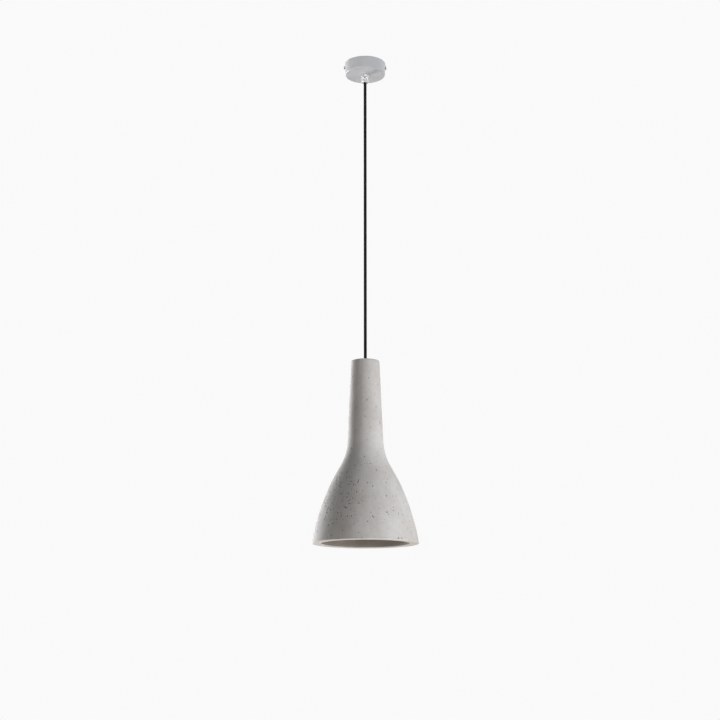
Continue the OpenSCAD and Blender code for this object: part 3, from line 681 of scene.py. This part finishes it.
wireRoutes = {
    "liveWire": [(-0.0013, 0, -0.0122), (-0.0014, 0.0005, -0.01), (-0.0025, 0.002, -0.007),
                 (-0.0065, 0.006, -0.006), (-0.01, 0.0095, -0.008), (-0.01, 0.012, -0.0085), (-0.01, 0.015, -0.0085)],
    "neutralWire": [(0.0013, 0, -0.0122), (0.0014, 0.0006, -0.01), (0.0012, 0.003, -0.0075),
                    (0.0004, 0.007, -0.0065), (0, 0.01, -0.008), (0, 0.012, -0.0085), (0, 0.015, -0.0085)],
    "earthWire": [(0.01, 0.015, -0.0085), (0.01, 0.012, -0.0085), (0.01, 0.009, -0.0076),
                  (0.0102, 0.005, -0.0056), (0.0102, 0.002, -0.0038), (0.0102, -0.0005, -0.003)],
    "lead": [(0.0013, 0, 0.1687), (0.00145, 0, 0.1675), (0.0024, 0, 0.1664), (0.0042, 0, 0.1654), (0.006, 0, 0.165)],
}


def wireTube(name, route, radius, material, sides=20):
    # a circle carried along a route, square to it, with rounded closed ends
    centre = smoothRoute(route, 8)
    along = np.gradient(centre, axis=0)
    along /= np.linalg.norm(along, axis=1)[:, None]
    aside = np.cross(along, (1, 0.9, -0.3))
    aside /= np.linalg.norm(aside, axis=1)[:, None]
    up = np.cross(along, aside)
    turn = np.linspace(0, 2 * np.pi, sides, endpoint=False)
    ring = np.cos(turn)[None, :, None] * aside[:, None] + np.sin(turn)[None, :, None] * up[:, None]
    width = np.full(len(centre), radius)
    width[[0, -1]] = radius * 0.85
    points = centre[:, None] + ring * width[:, None, None]
    ends = [np.repeat(centre[k][None, None], sides, 1) for k in (0, -1)]
    points = np.concatenate([ends[0], points, ends[1]])
    piece = surface(name, points, material, sharpAngle=60)
    around = piece.data.uv_layers.new(name="UVMap")
    vertex = np.empty(len(piece.data.loops), np.int32)
    piece.data.loops.foreach_get("vertex_index", vertex)
    place = meshPoints(piece.data)[vertex]
    nearest = np.argmin(np.linalg.norm(place[:, None] - centre[None], axis=2), axis=1)
    offset = place - centre[nearest]
    share = np.arctan2((offset * up[nearest]).sum(1), (offset * aside[nearest]).sum(1)) / (2 * np.pi) % 1
    around.data.foreach_set("uv", np.stack([share, nearest / len(centre)], 1).astype(np.float32).ravel())
    return piece


def placeWire(piece, source, body):
    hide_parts(source)
    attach(piece, body)


lead = np.array(wireRoutes["lead"]) + (0, 0, rimZ)
placeWire(wireTube("liveWire", wireRoutes["liveWire"], 0.001, brownInsulation), "live_wire", "ceiling_mount")
placeWire(wireTube("neutralWire", wireRoutes["neutralWire"], 0.001, blueInsulation), "neutral_wire", "ceiling_mount")
placeWire(wireTube("earthWire", wireRoutes["earthWire"], 0.0009, earthInsulation), "earth_wire", "ceiling_mount")
placeWire(wireTube("liveLead", lead, 0.001, brownInsulation), "live_lead", "shade")
placeWire(wireTube("neutralLead", lead * (-1, -1, 1), 0.001, blueInsulation), "neutral_lead", "shade")
print("wires made")

# Lampholder: moulded cap and ribbed body, and the sheet-metal screw shell.

holder = {"radius": 20, "capBottom": 158, "capTop": 185, "collar": 8.5, "bore": 5.05, "bottom": 124,
          "bodyBore": 16.9, "lipBore": 14.8, "lip": 2, "ribs": 40, "ribDepth": 0.45,
          "shellRadius": 13.45, "shellBottom": 132, "shellTop": 155.5, "sheet": 0.4, "pitch": 3.629, "threadWave": 0.7}


def makeHolderCap():
    h = holder
    outline = stack(
        [(h["bore"], h["capTop"]), (h["bore"], 173), (7, 173)],
        arcPoints((h["collar"] - 1, h["capBottom"] + 5), h["radius"] - 2 - h["collar"] + 1, 90, 0, 14),
        [(h["radius"] - 2, h["capBottom"]), (h["radius"] - 0.4, h["capBottom"]), (h["radius"], h["capBottom"] + 0.4)],
        line((h["radius"], h["capBottom"] + 0.4), (h["radius"], h["capBottom"] + 5), 5),
        arcPoints((h["collar"], h["capBottom"] + 5), h["radius"] - h["collar"], 0, 86, 18),
        arcPoints((h["collar"] + 1, h["capBottom"] + 17.5), 1, 250, 180, 3),
        line((h["collar"], h["capBottom"] + 17.5), (h["collar"], h["capTop"] - 0.5), 6),
        [(h["collar"], h["capTop"] - 0.5), (h["collar"] - 0.5, h["capTop"])])
    piece = lathe("holderCap", outline, blackThermoset, 144)
    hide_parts("lampholder_cap")
    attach(piece, "shade")


def holderRibs(angle, radius, height):
    # upright grip ribs on the outer wall, fading out near both ends
    fade = np.clip((height - holder["bottom"] - 3) / 2, 0, 1) * np.clip((holder["capBottom"] - 5 - height) / 2, 0, 1)
    valley = (0.5 - 0.5 * np.cos(holder["ribs"] * angle)) ** 0.6
    return np.where(radius > holder["radius"] - 1, -holder["ribDepth"] * fade * valley, 0)


def makeHolderBody():
    h = holder
    outline = stack(
        [(h["bodyBore"], h["capBottom"] - 0.05), (h["bodyBore"], h["bottom"] + h["lip"]),
         (h["lipBore"] + 0.3, h["bottom"] + h["lip"]), (h["lipBore"], h["bottom"] + h["lip"] - 0.3),
         (h["lipBore"], h["bottom"] + 0.4), (h["lipBore"] + 0.4, h["bottom"])],
        arcPoints((h["radius"] - 2, h["bottom"] + 2), 2, -90, 0, 8),
        line((h["radius"], h["bottom"] + 2), (h["radius"], h["capBottom"] - 0.45), 30),
        [(h["radius"], h["capBottom"] - 0.45), (h["radius"] - 0.4, h["capBottom"] - 0.05)])
    piece = lathe("holderBody", outline, blackThermoset, 320, ripple=holderRibs)
    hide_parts("lampholder_body")
    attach(piece, "shade")


def helix(angle, height, depth):
    # a round right-hand thread: 0 on its crest and the depth in its valley
    return depth * (0.5 - 0.5 * np.cos(2 * np.pi * (height / holder["pitch"] - angle / (2 * np.pi))))


def makeScrewShell():
    h = holder
    wall = line((h["shellRadius"], h["shellBottom"] - 0.3), (h["shellRadius"], h["shellTop"] + 0.3), 80)
    back = wall[::-1] + (h["sheet"], 0)
    outline = stack(wall, [(12.0, 155.8), (12.0, 156.4), (15.0, 156.4), (15.0, 155.8)], back)

    def thread(angle, radius, height):
        onWall = (radius > 13.3) & (radius < 13.95)
        fade = np.clip((height - h["shellBottom"]) / 1.5, 0, 1) * np.clip((h["shellTop"] - height) / 1.5, 0, 1)
        return np.where(onWall, fade * helix(angle, height, h["threadWave"]), 0)

    piece = lathe("screwShell", outline, nickelPlate, 120, ripple=thread)
    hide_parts("threaded_shell")
    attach(piece, "shade")


makeHolderCap()
makeHolderBody()
makeScrewShell()
print("lampholder made")

# Bulb: clear glass, screw cap, glass stem and four coated filaments.

bulb = {"top": 153.9, "length": 105, "radius": 30, "wall": 0.9, "neck": 13.4, "shoulder": 38, "capCrest": 13.15,
        "capDepth": 0.8, "threadBottom": 132, "threadTop": 148.4, "filaments": 4}


def ownBulb(piece, source):
    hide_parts(source)
    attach(piece, "bulb")


def makeBulbGlass():
    # a sphere that turns into a narrow neck through a tangent arc; the inner wall follows it
    b = bulb
    centre = b["top"] - b["length"] + b["radius"]
    shoulder = polar((0, centre), b["radius"], b["shoulder"])
    neckArc = (shoulder[0] - b["neck"]) / (1 - math.cos(math.radians(b["shoulder"])))
    neckTop = shoulder[1] + neckArc * math.sin(math.radians(b["shoulder"]))
    neckCentre = (shoulder[0] + neckArc * math.cos(math.radians(b["shoulder"])), neckTop)
    outline = stack(
        arcPoints((0, centre), b["radius"], -90, b["shoulder"], 48)[:-1],
        arcPoints(neckCentre, neckArc, 180 + b["shoulder"], 180, 20),
        [(b["neck"], 127.6), (11.7, 127.9), (11.7, 134), (10.8, 134), (10.8, neckTop)],
        arcPoints(neckCentre, neckArc + b["wall"], 181, 180 + b["shoulder"], 20),
        arcPoints((0, centre), b["radius"] - b["wall"], b["shoulder"], -90, 48)[1:])
    outline[[0, -1], 0] = 0
    ownBulb(lathe("bulbGlass", outline, bulbGlassFinish, 96, loopAlong=False), "bulb_glass")


def makeBulbCap():
    b = bulb
    outer = line((b["capCrest"], b["threadBottom"] - 0.3), (b["capCrest"], b["threadTop"] + 0.3), 60)
    inner = line((b["capCrest"] - 1.2, b["threadTop"] + 0.3), (b["capCrest"] - 1.2, b["threadBottom"] - 1), 20)
    outline = stack(
        [(13.1, 128), (13.6, 128), (13.9, 128.3), (13.9, 129.2), (13.2, 131.2)], outer,
        [(11.9, 149.1), (11.3, 149.3), (11.05, 149.1), (11.05, 147.9), (11.9, 147.8)], inner, [(12.3, 130.4)])

    def thread(angle, radius, height):
        onWall = radius > b["capCrest"] - 0.02
        fade = np.clip((height - b["threadBottom"]) / 1.5, 0, 1) * np.clip((b["threadTop"] - height) / 1.5, 0, 1)
        return np.where(onWall & (radius < b["capCrest"] + 0.04), -fade * helix(angle, height, b["capDepth"]), 0)

    ownBulb(lathe("bulbCap", outline, nickelPlate, 120, ripple=thread), "bulb_cap")


def makeInsulator():
    outline = stack([(0, 148), (11, 148), (11, 149.2)], arcPoints((4.2, 146.5), 7.2, 22, 62, 6),
                    [(5.6, 152.8), (4.45, 152.8), (4.45, 151.85), (0, 151.85)])
    ownBulb(lathe("bulbInsulator", outline, fusedBlackGlass, 72, loopAlong=False), "bulb_insulator")


def makeStem():
    outline = stack([(0, 134), (10.6, 134), (10.6, 132.8)], arcPoints((10.6, 122.8), 8, 112, 178, 10),
                    [(2.6, 112), (2.6, 97)], arcPoints((0, 95), 2.6, 20, 0, 2), arcPoints((0, 94.6), 2.6, -5, -90, 8))
    outline[-1, 0] = 0
    ownBulb(lathe("bulbStem", outline, stemGlassFinish, 64, loopAlong=False), "bulb_stem")


def rod(base, tip, radius, columns=20, rounding=5):
    # points of a round bar with half-round ends between two points, in mm above the rim
    base, tip = np.array(base, float), np.array(tip, float)
    along = (tip - base) / np.linalg.norm(tip - base)
    aside = np.cross(along, (0.3, 1, 0.2))
    aside /= np.linalg.norm(aside)
    up = np.cross(along, aside)
    curve = np.radians(np.linspace(-90, 0, rounding))
    offset = np.concatenate([radius * (1 + np.sin(curve)), np.linalg.norm(tip - base) - radius * (1 + np.sin(curve[::-1]))])
    width = np.concatenate([radius * np.cos(curve), radius * np.cos(curve[::-1])])
    turn = np.linspace(0, 2 * np.pi, columns, endpoint=False)
    ring = np.cos(turn)[:, None] * aside + np.sin(turn)[:, None] * up
    points = base + offset[:, None, None] * along + width[:, None, None] * ring[None]
    return points * mm + (0, 0, rimZ)


def joined(name, grids, material, loops=None):
    # several closed grids as one mesh
    points, quads, first = [], [], 0
    for k, grid in enumerate(grids):
        rows, columns = grid.shape[:2]
        quads.append(gridFaces(rows, columns, bool(loops and loops[k]), True) + first)
        points.append(grid.reshape(-1, 3))
        first += rows * columns
    mesh = bpy.data.meshes.new(name)
    setMesh(mesh, np.vstack(points), np.vstack(quads))
    tidyMesh(mesh)
    return addPiece(name, mesh, material)


def makeFilaments():
    # four coated sticks lean inwards round the stem, wired from a ring below to the stem above
    turns = 2 * np.pi * (np.arange(bulb["filaments"]) + 0.5) / bulb["filaments"]
    lean = math.radians(6)
    sticks, wires = [], []
    for turn in turns:
        out = np.array([math.cos(turn), math.sin(turn), 0])
        base = out * 8 + (0, 0, 62)
        tip = base + 38 * (-out * math.sin(lean) + np.array([0, 0, math.cos(lean)]))
        sticks.append(rod(base, tip, 0.9))
        wires.append(rod(out * 8.3 + (0, 0, 60.2), base + (0, 0, 0.4), 0.3, 12, 3))
        wires.append(rod((0, 0, 60), out * 8.4 + (0, 0, 60), 0.3, 12, 3))
        wires.append(rod(out * 2.4 + (0, 0, 100.2), out * 4.3 + (0, 0, 100.2), 0.3, 12, 3))
    wires.append(rod((0, 0, 59.7), (0, 0, 93.5), 0.4, 12, 3))
    ownBulb(joined("bulbFilaments", sticks, phosphorCoat), "bulb_filaments")
    ownBulb(joined("filamentWires", wires, nickelPlate), "filament_wires")


makeBulbGlass()
makeBulbCap()
makeInsulator()
makeStem()
makeFilaments()
print("bulb made")

# Floor and light.

studio = {"floorDrop": 2.1, "floorSize": 30, "floorGlow": 0.62, "background": 0.97, "ambient": 0.27,
          "key": 12.4, "rim": 16, "bounce": 10.2, "ceiling": 0.9}


def makeFloor():
    mesh = bpy.data.meshes.new("floor")
    half = studio["floorSize"] / 2
    level = rimZ - studio["floorDrop"]
    mesh.from_pydata([(-half, -half, level), (half, -half, level), (half, half, level), (-half, half, level)], [], [(0, 1, 2, 3)])
    finish = newMaterial("paleFloor")
    place = node(finish, "TexCoord", {}).outputs["Object"]
    cloud = node(finish, "TexNoise", {"Vector": place, "Scale": 1.5})
    tone = ramp(finish, cloud.outputs["Fac"], [(0.3, "#E4E3E1"), (0.7, "#E8E7E5")])
    seen = node(finish, "LightPath", {}).outputs["Is Camera Ray"]
    glow = node(finish, "Math", {0: seen, 1: studio["floorGlow"]}, operation="MULTIPLY")
    finishMaterial(finish, {"Base Color": tone, "Roughness": 0.7, "Emission Color": tone, "Emission Strength": glow.outputs[0]})
    addPiece("floor", mesh, finish)


def softLight(name, place, target, size, power, colour, spread=180, mirrored=True):
    data = bpy.data.lights.new(name, "AREA")
    data.spread = math.radians(spread)
    data.shape = "RECTANGLE"
    data.size, data.size_y = size
    data.energy = power
    data.color = hexColour(colour)[:3]
    lamp = bpy.data.objects.new(name, data)
    bpy.context.scene.collection.objects.link(lamp)
    lamp.visible_camera = False
    lamp.visible_glossy = mirrored
    lamp.location = place
    lamp.rotation_euler = (Vector(target) - Vector(place)).to_track_quat("-Z", "Y").to_euler()


def makeWorld():
    # a bright even room: what is seen is near white, and what lights the piece is dimmer
    world = bpy.data.worlds.new("room")
    bpy.context.scene.world = world
    world.use_nodes = True
    tree = world.node_tree
    tree.nodes.clear()
    path = tree.nodes.new("ShaderNodeLightPath")
    strength = tree.nodes.new("ShaderNodeMix")
    strength.inputs["A"].default_value = studio["background"]
    strength.inputs["B"].default_value = studio["ambient"]
    background = tree.nodes.new("ShaderNodeBackground")
    background.inputs["Color"].default_value = hexColour("#FDFDFD")
    output = tree.nodes.new("ShaderNodeOutputWorld")
    tree.links.new(path.outputs["Is Diffuse Ray"], strength.inputs["Factor"])
    tree.links.new(strength.outputs["Result"], background.inputs["Strength"])
    tree.links.new(background.outputs["Background"], output.inputs["Surface"])


middle = (0, 0, (rimZ + topZ) / 2)
makeFloor()
lower = (0, 0, rimZ + 0.1)
softLight("windowLight", (2.35, -1.2, -0.8), lower, (1.5, 1.2), studio["key"], "#FBFCFF", 70)
softLight("backLight", (-1.7, 1.7, -0.8), lower, (0.9, 1.2), studio["rim"], "#FBFCFF", 70)
softLight("floorBounce", (0, -0.1, rimZ - 0.8), middle, (1.4, 1.4), studio["bounce"], "#FFF8F0", mirrored=False)
softLight("ceilingFill", (-1.9, -1.1, -0.45), (0, 0, 0), (0.9, 0.5), studio["ceiling"], "#FFFFFF", 26)
makeWorld()
bpy.context.scene.view_settings.view_transform = "Standard"
print("room made")

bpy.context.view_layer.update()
